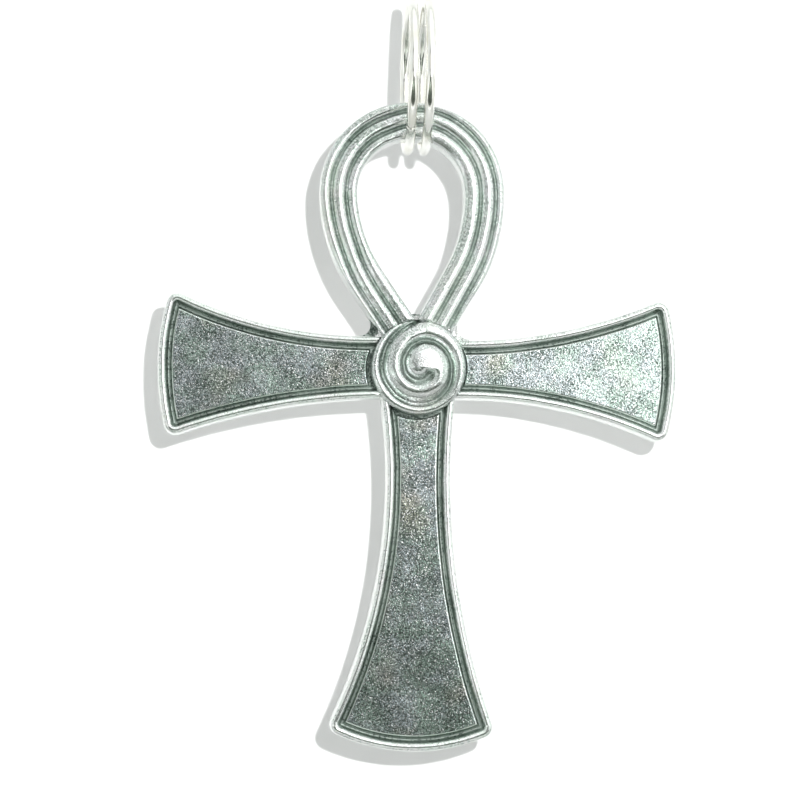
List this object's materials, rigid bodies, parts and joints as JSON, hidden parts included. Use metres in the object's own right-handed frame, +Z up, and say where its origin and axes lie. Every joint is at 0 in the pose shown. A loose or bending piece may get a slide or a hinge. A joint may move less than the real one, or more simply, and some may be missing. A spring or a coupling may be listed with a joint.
{
  "type": "ankh pendant",
  "caption": "Cast ankh pendant with a ribbed loop, flared bordered arms and a spiral boss, hanging free from polished jump rings.",
  "frame": {"origin": "where the pendant hangs: the inside top of the jump rings, midway between them", "axes": "+Z up, the relief faces -Y, and the rings' common axis runs along X"},
  "size_m": [0.051, 0.016, 0.0754],
  "materials": {
    "antique_silver": "antique silver plate, worn bright on the rims with dark patina in the grooves",
    "polished_silver": "polished silver plate"
  },
  "bodies": {
    "rings": {"jump_ring_left": "polished_silver", "jump_ring_right": "polished_silver"},
    "pendant": {"ankh": "antique_silver"}
  },
  "joints": [
    {"name": "pendant_swing", "type": "hinge", "parent": "rings", "child": "pendant", "pos_m": [0, 0, -0.007], "axis": [1, 0, 0], "range_deg": [-90, 90]}
  ]
}
